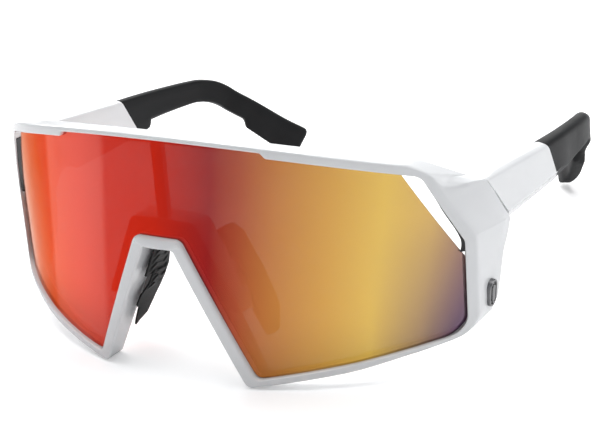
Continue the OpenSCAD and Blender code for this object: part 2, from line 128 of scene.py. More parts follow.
def makeGrainGroup():
    # fine moulding grain: a height for bump and a mask that mottles colour and gloss
    group = bpy.data.node_groups.new("mouldGrain", "ShaderNodeTree")
    face = group.interface
    face.new_socket("Size", in_out="INPUT", socket_type="NodeSocketFloat").default_value = 900.0
    face.new_socket("Blotch", in_out="INPUT", socket_type="NodeSocketFloat").default_value = 60.0
    face.new_socket("Height", in_out="OUTPUT", socket_type="NodeSocketFloat")
    face.new_socket("Mask", in_out="OUTPUT", socket_type="NodeSocketFloat")
    entry = addNode(group, "NodeGroupInput", (-700, 0))
    leave = addNode(group, "NodeGroupOutput", (300, 0))
    where = addNode(group, "ShaderNodeTexCoord", (-700, 200))
    fine = addNode(group, "ShaderNodeTexNoise", (-400, 200), Detail=3.0, Roughness=0.6)
    broad = addNode(group, "ShaderNodeTexNoise", (-400, -100), Detail=4.0, Roughness=0.55)
    for texture, socket in ((fine, "Size"), (broad, "Blotch")):
        group.links.new(where.outputs["Object"], texture.inputs["Vector"])
        group.links.new(entry.outputs[socket], texture.inputs["Scale"])
    group.links.new(fine.outputs["Fac"], leave.inputs["Height"])
    group.links.new(broad.outputs["Fac"], leave.inputs["Mask"])
    return group


grainGroup = makeGrainGroup()


def addGrain(material, size, blotch, depth, strength, rough, tones):
    # grain into Normal, and its blotches into Roughness and Base Color
    tree = material.node_tree
    shader = tree.nodes["Principled BSDF"]
    grain = tree.nodes.new("ShaderNodeGroup")
    grain.node_tree = grainGroup
    grain.location = (-900, -200)
    grain.inputs["Size"].default_value = size
    grain.inputs["Blotch"].default_value = blotch
    bump = addNode(tree, "ShaderNodeBump", (-300, -350), Distance=depth, Strength=strength)
    tree.links.new(grain.outputs["Height"], bump.inputs["Height"])
    tree.links.new(bump.outputs["Normal"], shader.inputs["Normal"])
    spread = addNode(tree, "ShaderNodeMapRange", (-500, -100))
    spread.inputs["From Min"].default_value = 0.3
    spread.inputs["From Max"].default_value = 0.7
    spread.inputs["To Min"].default_value = rough[0]
    spread.inputs["To Max"].default_value = rough[1]
    tree.links.new(grain.outputs["Mask"], spread.inputs["Value"])
    tree.links.new(spread.outputs["Result"], shader.inputs["Roughness"])
    if tones:
        ramp = addNode(tree, "ShaderNodeValToRGB", (-500, 200))
        ramp.color_ramp.elements[0].position = 0.3
        ramp.color_ramp.elements[1].position = 0.7
        ramp.color_ramp.elements[0].color = (*tones[0], 1)
        ramp.color_ramp.elements[1].color = (*tones[1], 1)
        tree.links.new(grain.outputs["Mask"], ramp.inputs["Fac"])
        tree.links.new(ramp.outputs["Color"], shader.inputs["Base Color"])


def shade(name, size, blotch, depth, strength, rough, tones, **sockets):
    material, _, _, shader = newMaterial(name)
    for key, value in sockets.items():
        shader.inputs[key.replace("_", " ")].default_value = value
    addGrain(material, size, blotch, depth, strength, rough, tones)
    return material


def makeWhite():
    return shade("glossWhite", 1400.0, 45.0, 0.00002, 0.06, (0.16, 0.24),
                 ((0.80, 0.81, 0.825), (0.84, 0.85, 0.86)),
                 IOR=1.5, Coat_Weight=0.35, Coat_Roughness=0.06)


def makeRubber():
    return shade("sleeveRubber", 5200.0, 90.0, 0.00006, 0.35, (0.44, 0.54),
                 ((0.006, 0.0062, 0.007), (0.010, 0.0104, 0.0115)),
                 IOR=1.27)


def makePadRubber():
    return shade("padRubber", 6000.0, 120.0, 0.00006, 0.4, (0.5, 0.62),
                 ((0.006, 0.006, 0.0065), (0.010, 0.010, 0.0105)),
                 IOR=1.27)


def makeBlackPlastic():
    return shade("latchPlastic", 2600.0, 120.0, 0.00003, 0.2, (0.35, 0.45),
                 ((0.012, 0.012, 0.013), (0.02, 0.02, 0.021)),
                 IOR=1.48)


def makeNylon():
    return shade("bridgeNylon", 2000.0, 70.0, 0.00003, 0.15, (0.3, 0.4),
                 ((0.62, 0.63, 0.64), (0.68, 0.69, 0.70)),
                 IOR=1.5)


def makeSteel():
    return shade("hingeSteel", 3000.0, 200.0, 0.00002, 0.2, (0.24, 0.34), ((0.5, 0.5, 0.52), (0.6, 0.6, 0.62)),
                 Metallic=1.0)


def makeBadgeMetal():
    return shade("badgeMetal", 4000.0, 300.0, 0.00002, 0.2, (0.2, 0.3),
                 ((0.16, 0.16, 0.165), (0.24, 0.24, 0.245)),
                 Metallic=1.0)


# lens

lensLook = {
    # place across the lens in mm, and the mirror's colour there, from red through gold; the lighter band with hard
    # edges from -39 to -18.5 mm is a painted reflection of a softbox
    "tintsAndReflection": (
        (-65, (0.62, 0.22, 0.12)), (-56, (0.60, 0.11, 0.05)), (-50, (0.62, 0.035, 0.008)), (-41, (0.70, 0.030, 0.006)),
        (-39, (0.82, 0.125, 0.095)), (-26, (0.78, 0.10, 0.075)), (-18.5, (0.68, 0.075, 0.055)),
        (-16.5, (0.58, 0.018, 0.006)), (-2, (0.54, 0.016, 0.004)), (13, (0.30, 0.012, 0.012)),
        (20, (0.40, 0.075, 0.030)), (28, (0.52, 0.19, 0.045)), (40, (0.66, 0.35, 0.065)),
        (50, (0.76, 0.50, 0.10)), (59, (0.66, 0.42, 0.13)), (66, (0.40, 0.22, 0.15))),
    "slant": 0.12,
    "foot": (0.055, 0.035, 0.13),
    "seeThrough": 0.86,
}


def makeMirror():
    material, _, links, shader = newMaterial("mirrorCoat")
    tree = material.node_tree
    low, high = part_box("shield_lens")
    where = addNode(tree, "ShaderNodeTexCoord", (-1500, 0))
    split = addNode(tree, "ShaderNodeSeparateXYZ", (-1300, 0))
    links.new(where.outputs["Object"], split.inputs["Vector"])
    across = addNode(tree, "ShaderNodeMapRange", (-1100, 100))
    middle = -lensLook["slant"] * (low.z + high.z) / 2
    across.inputs["From Min"].default_value = low.x + middle
    across.inputs["From Max"].default_value = high.x + middle
    # the bands, the painted softbox reflection among them, lean a little with height
    tilt = addNode(tree, "ShaderNodeMath", (-1200, -150), operation="MULTIPLY_ADD")
    tilt.inputs[1].default_value = -lensLook["slant"]
    links.new(split.outputs["Z"], tilt.inputs[0])
    links.new(split.outputs["X"], tilt.inputs[2])
    links.new(tilt.outputs["Value"], across.inputs["Value"])
    # the ramp holds the coating's colours and also the painted softbox reflection
    ramp = addNode(tree, "ShaderNodeValToRGB", (-800, 100))
    stops = ramp.color_ramp.elements
    while len(stops) < len(lensLook["tintsAndReflection"]):
        stops.new(0.5)
    for stop, (place, tint) in zip(stops, lensLook["tintsAndReflection"]):
        stop.position = 0.5 + 0.5 * place * mm / high.x
        stop.color = (*tint, 1)
    links.new(across.outputs["Result"], ramp.inputs["Fac"])
    # purple gathers in the two lower outer corners
    side = addNode(tree, "ShaderNodeMapRange", (-1100, -350))
    side.inputs["From Min"].default_value = high.x * 0.72
    side.inputs["From Max"].default_value = high.x * 1.02
    links.new(split.outputs["X"], side.inputs["Value"])
    foot = addNode(tree, "ShaderNodeMapRange", (-1100, -600))
    foot.inputs["From Min"].default_value = low.z + 0.038
    foot.inputs["From Max"].default_value = low.z + 0.006
    links.new(split.outputs["Z"], foot.inputs["Value"])
    corner = addNode(tree, "ShaderNodeMath", (-800, -450), operation="MULTIPLY")
    links.new(side.outputs["Result"], corner.inputs[0])
    links.new(foot.outputs["Result"], corner.inputs[1])
    mix = addNode(tree, "ShaderNodeMix", (-500, 0), data_type="RGBA")
    mix.inputs[7].default_value = (*lensLook["foot"], 1)
    links.new(corner.outputs["Value"], mix.inputs[0])
    links.new(ramp.outputs["Color"], mix.inputs[6])
    links.new(mix.outputs[2], shader.inputs["Base Color"])
    shader.inputs["Metallic"].default_value = 0.95
    shader.inputs["Roughness"].default_value = 0.12
    shader.inputs["Specular Tint"].default_value = (1.0, 0.6, 0.4, 1)
    shader.inputs["Alpha"].default_value = lensLook["seeThrough"]
    shader.inputs["Coat Weight"].default_value = 0.08
    shader.inputs["Coat Roughness"].default_value = 0.04
    return material


lensForm = {
    "half": 65.6, "thick": 1.8, "noseHalf": 6.4, "noseTop": 36.2, "noseSlope": 25.5, "crown": 60.2, "browRadius": 205.0,
    "ventIn": 54.0, "ventLow": 28.8, "lobeLow": 2.2, "cornerHigh": 11.2, "columns": 264, "rows": 30,
}


def softMax(a, b, round):
    return 0.5 * (a + b + math.sqrt((a - b) ** 2 + round * round))


def softMin(a, b, round):
    return -softMax(-a, -b, round)


def browLine(x, lift=0.0):
    radius = lensForm["browRadius"]
    return lensForm["crown"] + lift - radius + math.sqrt(radius * radius - x * x)


def lensTop(x):
    form = lensForm
    slope = (browLine(form["ventIn"]) - form["ventLow"]) / (form["half"] - form["ventIn"])
    vent = form["ventLow"] + (form["half"] - abs(x)) * slope
    return softMin(browLine(x), vent, 0.5)


def lensLow(x):
    form = lensForm
    x = abs(x)
    leg = form["noseTop"] - (x - form["noseHalf"]) / math.tan(math.radians(form["noseSlope"]))
    bridge = softMin(form["noseTop"], leg, 1.6)
    lobeX = form["noseHalf"] + (form["noseTop"] - form["lobeLow"]) * math.tan(math.radians(form["noseSlope"]))
    climb = (form["cornerHigh"] - form["lobeLow"]) / (form["half"] - lobeX)
    lobe = form["lobeLow"] + (x - lobeX) * climb - 0.0009 * (x - lobeX) * (form["half"] - x)
    round = 5.0
    past = x - (form["half"] - round)
    if past > 0:
        lobe += round - math.sqrt(max(0.0, round * round - past * past))
    return softMax(bridge, lobe, 1.6)


def onCylinder(x, z, radius=None):
    radius = radius or lensRadius
    return Vector((x, lensRadius - math.sqrt(radius * radius - x * x), z))


def makeLens():
    form = lensForm
    bm = bmesh.new()
    bmesh.ops.create_grid(bm, x_segments=form["columns"], y_segments=form["rows"], size=1.0)
    for vert in bm.verts:
        # columns are spread evenly over the lens's width
        x = form["half"] * vert.co.x
        share = 0.5 + 0.5 * vert.co.y
        low, high = lensLow(x), lensTop(x)
        vert.co = onCylinder(x, low + (high - low) * share)
    standUp(bm)
    bmesh.ops.recalc_face_normals(bm, faces=bm.faces)
    if bm.faces[0].normal.y > 0:
        bmesh.ops.reverse_faces(bm, faces=bm.faces)
    piece = link("lensShield", bm, mirror, "front", ("shield_lens",))
    wall = piece.modifiers.new("thickness", "SOLIDIFY")
    wall.thickness = form["thick"] * mm
    wall.offset = -1.0
    addBevel(piece, 0.00015, 2, 50.0)


# finishing pieces

def giveMaterial(piece, material):
    piece.data.materials.clear()
    piece.data.materials.append(material)
    for polygon in piece.data.polygons:
        polygon.material_index = 0


def addBevel(piece, width, segments=3, angle=28.0):
    bevel = piece.modifiers.new("edges", "BEVEL")
    bevel.width = width
    bevel.segments = segments
    bevel.limit_method = "ANGLE"
    bevel.angle_limit = math.radians(angle)
    bevel.harden_normals = True
    bevel.use_clamp_overlap = True
    bevel.miter_outer = "MITER_ARC"


def link(name, bm, material, body, replaced=()):
    mesh = bpy.data.meshes.new(name)
    bm.to_mesh(mesh)
    bm.free()
    piece = bpy.data.objects.new(name, mesh)
    bpy.context.scene.collection.objects.link(piece)
    mesh.shade_smooth()
    giveMaterial(piece, material)
    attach(piece, body)
    if replaced:
        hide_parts(*replaced)
    return piece


def softCopy(node, name, material, width, segments=3, angle=28.0):
    # the CAD shape with its edges rounded as a mould leaves them
    bm = bmesh.new()
    bm.from_mesh(nodes[node].data)
    bmesh.ops.remove_doubles(bm, verts=bm.verts, dist=0.000004)
    bmesh.ops.dissolve_limit(bm, angle_limit=math.radians(0.5), verts=bm.verts, edges=bm.edges)
    piece = link(name, bm, material, nodes[node]["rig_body"], (node,))
    addBevel(piece, width, segments, angle)
    return piece


# frame: one moulding swept round the lens, with the lugs drawn out of it at both sides

frameForm = {
    "front": 89.2, "back": 85.2, "seatFront": 88.06, "seatBack": 86.1, "ledge": 1.5,
    "browLift": 1.3, "tabDrop": 1.2, "tabStart": 28.4, "tabEnd": 54.0, "legDepth": 7.0,
    # inner and outer corners of the ring, from the brow's end round to the nose: x, z, radius
    "inner": ((58.5, 50.5, 3.0), (65.6, 33.6, 4.0), (65.6, 11.2, 5.0), (45.0, 6.5, 60.0), (22.6, 2.2, 1.8),
              (6.4, 36.2, 2.4)),
    "outer": ((60.6, 50.7, 4.5), (67.8, 34.5, 1.6), (67.8, 11.0, 6.0), (45.0, 4.5, 60.0), (20.4, 0.0, 1.8),
              (4.3, 33.4, 1.2)),
    # where the lug ends behind each stretch of the ring: stretch, x, y, z, wall
    "lug": ((1.0, 64.0, 34.4, 47.3, 1.6), (1.16, 68.2, 35.2, 46.7, 5.2), (1.3, 68.7, 37.6, 43.9, 5.4),
            (2.0, 69.0, 47.1, 33.3, 5.4), (2.12, 68.9, 45.8, 30.2, 3.0), (2.3, 68.4, 43.6, 26.0, 1.6),
            (2.6, 67.9, 42.7, 20.0, 1.4), (2.85, 67.5, 41.6, 15.2, 1.4), (3.0, 66.9, 39.2, 12.3, 1.4),
            (3.2, 63.6, 33.4, 9.9, 1.4)),
    "lugStart": 0.93, "lugStop": 3.45, "legStart": 4.84,
    "cornerSteps": 9, "pieceLength": 1.3,
}


def depthAt(radius, x):
    return lensRadius - math.sqrt(radius * radius - x * x)


def cornerArc(before, corner, after, radius, steps):
    # the points of a round corner on a flat outline
    toBefore = (before - corner).normalized()
    toAfter = (after - corner).normalized()
    half = toBefore.angle(toAfter) / 2
    run = min(radius / math.tan(half), (before - corner).length * 0.48, (after - corner).length * 0.48)
    reach = run * math.tan(half)
    centre = corner + (toBefore + toAfter).normalized() * reach / math.sin(half)
    start = corner + toBefore * run - centre
    turn = math.pi - 2 * half
    way = 1 if start.cross(corner + toAfter * run - centre) > 0 else -1
    points = []
    for step in range(steps + 1):
        angle = way * turn * step / steps
        points.append(centre + Vector((start.x * math.cos(angle) - start.y * math.sin(angle),
                                       start.x * math.sin(angle) + start.y * math.cos(angle))))
    return points


def easy(value, low, high):
    share = min(1.0, max(0.0, (value - low) / (high - low)))
    return share * share * (3 - 2 * share)


def ringStations():
    # pairs of inner and outer points from the brow's middle to the nose's middle, with the stretch they lie on
    form = frameForm
    stations = []
    browEnd = form["tabEnd"]
    xs = [browEnd * step / 36 for step in range(37)] + [form["tabStart"] + 0.25 * k for k in range(-3, 4)]
    for x in sorted(xs):
        drop = form["tabDrop"] * easy(x, form["tabStart"] - 0.8, form["tabStart"] + 0.8)
        outX = x * 56.6 / browEnd
        stations.append((Vector((x, browLine(x) - drop)), Vector((outX, browLine(outX, form["browLift"]))),
                         x / browEnd * form["lugStart"]))
    loops = []
    for key, last in (("inner", (0, 36.2)), ("outer", (0, 33.4))):
        corners = [stations[-1][0 if key == "inner" else 1]] + [Vector(c[:2]) for c in form[key]] + [Vector(last)]
        loops.append([cornerArc(corners[i], corners[i + 1], corners[i + 2], form[key][i][2], form["cornerSteps"])
                      for i in range(len(form[key]))])
    count = len(loops[0])
    for index in range(count + 1):
        starts = [stations[-1][side] for side in (0, 1)]
        ends = [loop[index][0] if index < count else Vector(last)
                for loop, last in zip(loops, ((0, 36.2), (0, 33.4)))]
        pieces = max(2, int((ends[1] - starts[1]).length / form["pieceLength"]))
        for step in range(1, pieces):
            share = step / pieces
            stations.append((starts[0].lerp(ends[0], share), starts[1].lerp(ends[1], share),
                             form["lugStart"] * (index == 0) * (1 - share) + (index == 0) * share
                             + (index > 0) * (index + share)))
        if index < count:
            stations += [(a, b, index + 1.0) for a, b in zip(loops[0][index], loops[1][index])]
        else:
            stations.append((ends[0], ends[1], index + 1.0))
    return stations


def lugEnd(stretch, fallback):
    # the lug's back edge and wall at this stretch, and how much of a lug there is
    form = frameForm
    rows = form["lug"]
    if stretch <= form["lugStart"] or stretch >= form["lugStop"]:
        return fallback, 0.6
    first = (form["lugStart"], *fallback, 0.6)
    last = (form["lugStop"], *fallback, 0.6)
    rows = (first, *rows, last)
    for a, b in zip(rows, rows[1:]):
        if a[0] <= stretch <= b[0]:
            share = (stretch - a[0]) / (b[0] - a[0])
            mixed = [u + (v - u) * share for u, v in zip(a[1:], b[1:])]
            return Vector(mixed[:3]), mixed[3]
    return fallback, 0.6


def ringSection(inner, outer, stretch):
    # one closed section of the moulding, from the lens's front over the rim, round the back to the lens again
    form = frameForm
    width = (outer - inner).length
    away = (outer - inner).normalized()

    def spot(flat, radius):
        return Vector((flat.x, depthAt(radius, flat.x), flat.y))

    leg = easy(stretch, form["legStart"], 5.0)
    lug = form["lugStart"] < stretch < form["lugStop"]
    vent = easy(stretch, 0.86, 0.95) * (1 - easy(stretch, 1.96, 2.1))
    ledge = form["ledge"] * (1 - vent) + 0.05
    soft = 0.35 if lug else 0.6
    back = spot(outer, form["back"])
    back.y += (form["legDepth"] - back.y) * leg
    rear, wall = lugEnd(stretch, back)
    if not lug:
        rear = back
    brim = spot(outer, form["front"] - soft)
    inward = Vector((-away.x, 0, -away.y)) if not lug else Vector((-1, 0, 0))
    rearIn = rear + inward * min(wall, width * 0.8 if not lug else wall)
    inBack = spot(inner + away * width * 0.4, form["back"])
    if leg > 0:
        legBack = spot(inner - away * (form["ledge"] - 0.2), form["back"])
        legBack.y += (form["legDepth"] - legBack.y) * leg
        inBack = inBack.lerp(legBack, leg)
    ledgeBack = spot(inner - away * ledge, form["back"] + 0.15)
    ledgeBack.y += (max(ledgeBack.y, form["legDepth"] - 0.2) - ledgeBack.y) * leg
    return [
        spot(inner, form["seatFront"]),
        spot(inner, form["front"] - 0.5),
        spot(inner + away * 0.12, form["front"] - 0.2),
        spot(inner + away * 0.36, form["front"] - 0.04),
        spot(inner + away * min(0.8, width * 0.45), form["front"]),
        spot(outer - away * min(soft * 1.3, width * 0.45), form["front"]),
        spot(outer - away * soft * 0.75, form["front"] - 0.04 * soft / 0.6),
        spot(outer - away * soft * 0.3, form["front"] - soft * 0.3),
        brim,
        brim.lerp(rear, 0.06), brim.lerp(rear, 0.35), brim.lerp(rear, 0.7), brim.lerp(rear, 0.96),
        rear.lerp(rearIn, 0.06), rear.lerp(rearIn, 0.94),
        rearIn.lerp(inBack, 0.06), inBack,
        ledgeBack,
        spot(inner - away * ledge, form["seatBack"]),
        spot(inner, form["seatBack"]),
        spot(inner, form["seatFront"]),
    ]


def loftSheet(rings):
    # a grid bent so that each of its rows becomes one ring
    bm = bmesh.new()
    across, along = len(rings[0]), len(rings)
    bmesh.ops.create_grid(bm, x_segments=across - 1, y_segments=along - 1, size=1.0)
    for vert in bm.verts:
        column = round((vert.co.x + 1) / 2 * (across - 1))
        row = round((vert.co.y + 1) / 2 * (along - 1))
        vert.co = rings[row][column]
    return bm


def closeUp(bm):
    # merges the sheet's meeting edges and turns its faces outwards
    bmesh.ops.remove_doubles(bm, verts=bm.verts, dist=0.0005)
    standUp(bm)
    bmesh.ops.recalc_face_normals(bm, faces=bm.faces)


def closedLoft(rings):
    # a loft with both its ends filled
    bm = loftSheet(rings)
    bmesh.ops.remove_doubles(bm, verts=bm.verts, dist=0.0005)
    bmesh.ops.holes_fill(bm, edges=[edge for edge in bm.edges if edge.is_boundary], sides=0)
    closeUp(bm)
    return bm


def onSide(rings, side):
    # rings drawn for the left side, or their mirror image for the right
    sign = 1 if side == "left" else -1
    return [[Vector((sign * p.x, p.y, p.z)) for p in ring] for ring in rings]


def sharpen(piece, angle):
    piece.data.set_sharp_from_angle(angle=math.radians(angle))


def makeFrame():
    half = [ringSection(*station) for station in ringStations()]
    bm = loftSheet(half + onSide(half[::-1], "right"))
    closeUp(bm)
    piece = link("frameShell", bm, white, "front", ("front_frame",))
    sharpen(piece, 36)


bridgeForm = {"half": 6.5, "top": 36.1, "low": 34.4, "bow": 0.75, "round": 1.5, "proudLow": 0.75, "proudTop": 0.25}


def makeBridgePlate():
    # bright plate on the bridge, tilted up and bowed along its lower edge
    form = bridgeForm
    rings = []
    for step in range(41):
        side = -1 + step / 20
        x = form["half"] * side
        corner = form["round"] * (1 - math.sqrt(max(0.0, 1 - max(0.0, abs(side) - 0.75) ** 2 * 16)))
        top = form["top"] - corner
        low = form["low"] - form["bow"] * (1 - side * side) + 0.2
        low = min(low, top - 0.05)
        rings.append([Vector((x, depthAt(radius, x), z)) for radius, z in (
            (88.9, low), (frameForm["front"] + form["proudLow"] * (1 - side ** 6) - 0.12, low),
            (frameForm["front"] + form["proudLow"] * (1 - side ** 6), low + 0.15 * (top - low)),
            (frameForm["front"] + form["proudTop"] * (1 - side ** 6) + 0.05, top - 0.12 * (top - low)),
            (frameForm["front"] - 0.2, top), (88.9, top), (88.9, low))])
    bm = loftSheet(rings)
    bmesh.ops.holes_fill(bm, edges=[e for e in bm.edges if e.is_boundary], sides=12)
    closeUp(bm)
    piece = link("bridgePlate", bm, white, "front")
    sharpen(piece, 50)


# temples and their rubber sleeves

templeForm = {
    "half": 68.4, "thick": 5.4, "tall": 13.4, "top": 46.388, "fall": 3.57, "crown": 1.0, "strip": 2.1,
    "seamY": 35.3, "seamRun": 0.925, "sleeveY": 73.6, "sleeveTop": 43.0, "sleeveRun": 0.6, "gap": 0.12,
    # what the arm loses towards its sleeve, how far its inner side hangs lower, and how its faces swell
    "thickLoss": 1.2, "tallLoss": 2.6, "innerMore": 2.5, "innerLoss": 1.4, "narrowing": 0.6,
    "crownStart": 0.25, "crownLoss": 0.3, "bulge": 0.6, "bulgeLoss": 0.3, "armSteps": 24,
    "sleeveCrown": 0.7, "sleeveBulge": 0.3, "sleeveStrip": 2.0, "sleeveEdge": 0.3,
    # rings past the path's end: reach and size
    "tip": ((0.5, 0.93), (0.85, 0.8), (1.05, 0.55)),
    # the sleeve's outer top edge from the arm to the tip
    "path": ((67.8, 73.6, 42.85), (67.3, 86, 41.9), (66.3, 97.6, 40.9), (65.2, 107, 40.0), (64.2, 112, 39.3),
             (62.4, 117.5, 37.6), (60.5, 121.8, 35.1), (58.1, 125.6, 31.7), (55.2, 130.4, 27.7), (51.8, 135.2, 23.3),
             (48.2, 139.5, 19.2), (45.8, 142.9, 16.3)),
    # height of the outer and of the inner side, by distance from the lens's front
    "outerTall": ((73, 10.9), (86, 9.2), (97, 8.0), (107, 7.2), (115, 6.4), (123, 6.0), (130.0, 6.0), (131.6, 7.9),
                  (140, 8.8), (143, 8.2)),
    "innerTall": ((73, 11.9), (84.4, 10.2), (86.0, 7.5), (97, 6.8), (107, 6.3), (123, 5.9), (128.9, 6.0),
                  (130.5, 8.1), (140, 8.9), (143, 8.2)),
    "sleeveThick": ((73, 4.2), (86, 4.0), (97, 3.8), (129, 3.6), (132, 3.9), (143, 3.7)),
    "rings": 110,
}


def fromTable(rows, value):
    if value <= rows[0][0]:
        return rows[0][1]
    for a, b in zip(rows, rows[1:]):
        if value <= b[0]:
            return a[1] + (b[1] - a[1]) * (value - a[0]) / (b[0] - a[0])
    return rows[-1][1]


def limbProfile(thick, tall, innerTall, crown, bulge, strip):
    # inward from the outer face and down from its top edge, once round
    side = tall - strip
    return [(-bulge, side), (-bulge, side - 0.25), (-bulge * 0.85, tall * 0.75),
            (-bulge * 0.55, tall * 0.45), (-bulge * 0.2, tall * 0.2),
            (0.02, 1.0), (0.22, 0.38), (0.7, -0.1), (thick * 0.34, -0.55 * crown - 0.05), (thick * 0.55, -crown),
            (thick - 0.9, -crown + 0.05), (thick - 0.3, -crown + 0.35), (thick, 0.9 - crown),
            (thick, innerTall * 0.3), (thick, innerTall * 0.7), (thick, innerTall - 0.7),
            (thick - 0.3, innerTall - 0.15), (thick - 0.9, innerTall), (thick * 0.5, innerTall * 0.8 + tall * 0.2),
            (thick * 0.35, innerTall * 0.4 + tall * 0.6 + 0.1), (0.5 * strip + 0.15 - bulge, tall + 0.15),
            (0.46 * strip + 0.1 - bulge, tall), (0.12 * strip - bulge, side + 0.25 * min(1, strip)), (-bulge, side)]


def armRings():
    form = templeForm
    rings = []
    for step in range(form["armSteps"] + 1):
        share = step / form["armSteps"]
        top = form["top"] - form["fall"] * share
        tall = form["tall"] - form["tallLoss"] * share
        rise = (form["crown"] - form["crownStart"]) * easy(share, 0, 0.25)
        profile = limbProfile(form["thick"] - form["thickLoss"] * share, tall,
                              tall + form["innerMore"] - form["innerLoss"] * share,
                              form["crownStart"] + rise - form["crownLoss"] * share,
                              form["bulge"] - form["bulgeLoss"] * share, form["strip"])
        ring = []
        for inward, down in profile:
            z = top - down
            seam = form["seamY"] + (form["top"] - z) * form["seamRun"]
            end = form["sleeveY"] + (form["sleeveTop"] - z) * form["sleeveRun"]
            ring.append(Vector((form["half"] - form["narrowing"] * share - inward,
                                seam + (end - seam) * share, z)))
        rings.append(ring)
    return rings


def smoothPath(points, count):
    # a smooth curve through the points, sampled evenly between them
    result = []
    last = len(points) - 1
    for step in range(count + 1):
        place = last * step / count
        index = min(int(place), last - 1)
        t = place - index
        a, b, c, d = (Vector(points[max(0, min(last, index + k))]) for k in (-1, 0, 1, 2))
        spot = 0.5 * (2 * b + (c - a) * t + (2 * a - 5 * b + 4 * c - d) * t * t + (3 * b - a - 3 * c + d) * t ** 3)
        ahead = (0.5 * ((c - a) + 2 * (2 * a - 5 * b + 4 * c - d) * t + 3 * (3 * b - a - 3 * c + d) * t * t))
        result.append((spot, ahead.normalized()))
    return result


def sleeveRings():
    form = templeForm
    rings = []
    stations = smoothPath(form["path"], form["rings"])
    for spot, ahead in stations:
        inward = Vector((-ahead.y, ahead.x, 0)).normalized()
        if inward.x > 0:
            inward.negate()
        down = inward.cross(ahead)
        if down.z > 0:
            down.negate()
        thick = fromTable(form["sleeveThick"], spot.y)
        profile = limbProfile(thick, fromTable(form["outerTall"], spot.y), fromTable(form["innerTall"], spot.y),
                              form["sleeveCrown"], form["sleeveBulge"] * (1 - easy(spot.y, 74, 100)),
                              form["sleeveStrip"] * (1 - easy(spot.y, 74, 92)) + form["sleeveEdge"])
        ring = [spot + inward * across + down * drop for across, drop in profile]
        lean = 1 - easy(spot.y, 73.6, 92)
        for point in ring:
            point.y += form["gap"] + (form["sleeveTop"] - point.z) * form["sleeveRun"] * lean
        rings.append(ring)
    # the tip ends round
    ahead = stations[-1][1]
    for reach, size in form["tip"]:
        middle = sum(rings[form["rings"]][:-1], Vector()) / (len(rings[0]) - 1)
        rings.append([middle + (point - middle) * size + ahead * reach for point in rings[form["rings"]]])
    return rings


def makeLimb(rings, name, node, material, side, angle):
    bm = closedLoft(onSide(rings, side))
    piece = link(name + "." + side, bm, material, "temple_" + side, (node + side,))
    sharpen(piece, angle)


# nose pads: a thin ridged grip beside each of the frame's legs, apart from the soft block behind

padForm = {
    # height, the face's front edge, and its back edge across and along
    "rows": ((34.5, 2.6, 6.6, 13.2), (27.0, 2.6, 7.1, 13.9), (24.0, 2.6, 7.9, 14.1), (23.6, 6.2, 8.0, 14.1),
             (20.6, 5.8, 9.1, 13.5), (18.4, 3.6, 10.0, 12.8), (15.6, 3.2, 11.2, 11.6), (14.6, 4.6, 11.6, 11.2),
             (11.2, 5.2, 13.0, 9.8), (9.0, 5.9, 14.6, 7.6)),
    "wallFoot": 4.3, "wallTop": 33.4, "wallRun": 0.477, "stand": 1.9, "thick": 0.4,
    "ridge": 0.32, "ridgeEvery": 2.1, "ridgeLow": 19.0, "ridgeHigh": 33.0, "columns": 36, "rings": 130,
    "curl": 1.6, "reach": 2, "zigzags": 1.5, "zigzagHigh": 2.4,
}


def padSpot(z, share):
    form = padForm
    front, backX, backY = (fromTable([(-row[0], row[k]) for row in form["rows"]], -z) for k in (1, 2, 3))
    frontX = form["wallFoot"] + (form["wallTop"] - z) * form["wallRun"] - form["stand"]
    x = frontX + (min(backX, frontX + form["reach"]) - frontX) * share ** form["curl"]
    y = front + (backY - front) * share
    chevron = abs((share * form["zigzags"]) % 1.0 - 0.5) * form["zigzagHigh"]
    wave = ((z + chevron) / form["ridgeEvery"]) % 1.0
    inside = easy(share, 0.06, 0.16) * (1 - easy(share, 0.82, 0.94))
    inside *= easy(z, form["ridgeLow"], form["ridgeLow"] + 1) * (1 - easy(z, form["ridgeHigh"], form["ridgeHigh"] + 1))
    x -= form["ridge"] * inside * easy(wave, 0.12, 0.24) * (1 - easy(wave, 0.62, 0.74))
    return Vector((x, y, z))


def makePadGrip(side):
    form = padForm
    sign = 1 if side == "left" else -1
    top, low = form["rows"][0][0], form["rows"][-1][0]
    rings = []
    for step in range(form["rings"] + 1):
        z = top + (low - top) * step / form["rings"]
        rings.append([padSpot(z, column / form["columns"]) for column in range(form["columns"] + 1)])
    bm = loftSheet(onSide(rings, side))
    standUp(bm)
    bmesh.ops.recalc_face_normals(bm, faces=bm.faces)
    if sign * sum(face.normal.x for face in bm.faces) > 0:
        bmesh.ops.reverse_faces(bm, faces=bm.faces)
    piece = link("padGrip." + side, bm, padRubber, "nose_pad_" + side)
    wall = piece.modifiers.new("thickness", "SOLIDIFY")
    wall.thickness = form["thick"] * mm
    wall.offset = -1.0
    sharpen(piece, 40)


# badge: a plain round-ended plate with a raised rim and bar

badgeForm = {
    "length": 7.0, "width": 4.2, "thick": 0.9, "rim": 0.55, "sunk": 0.35, "bar": 0.6, "lean": 6.0,
    "proud": 0.15, "edge": 0.16, "edgeHigh": 0.14, "slope": 0.12, "barSlope": 0.1, "barHigh": 0.1, "corners": 64,
}


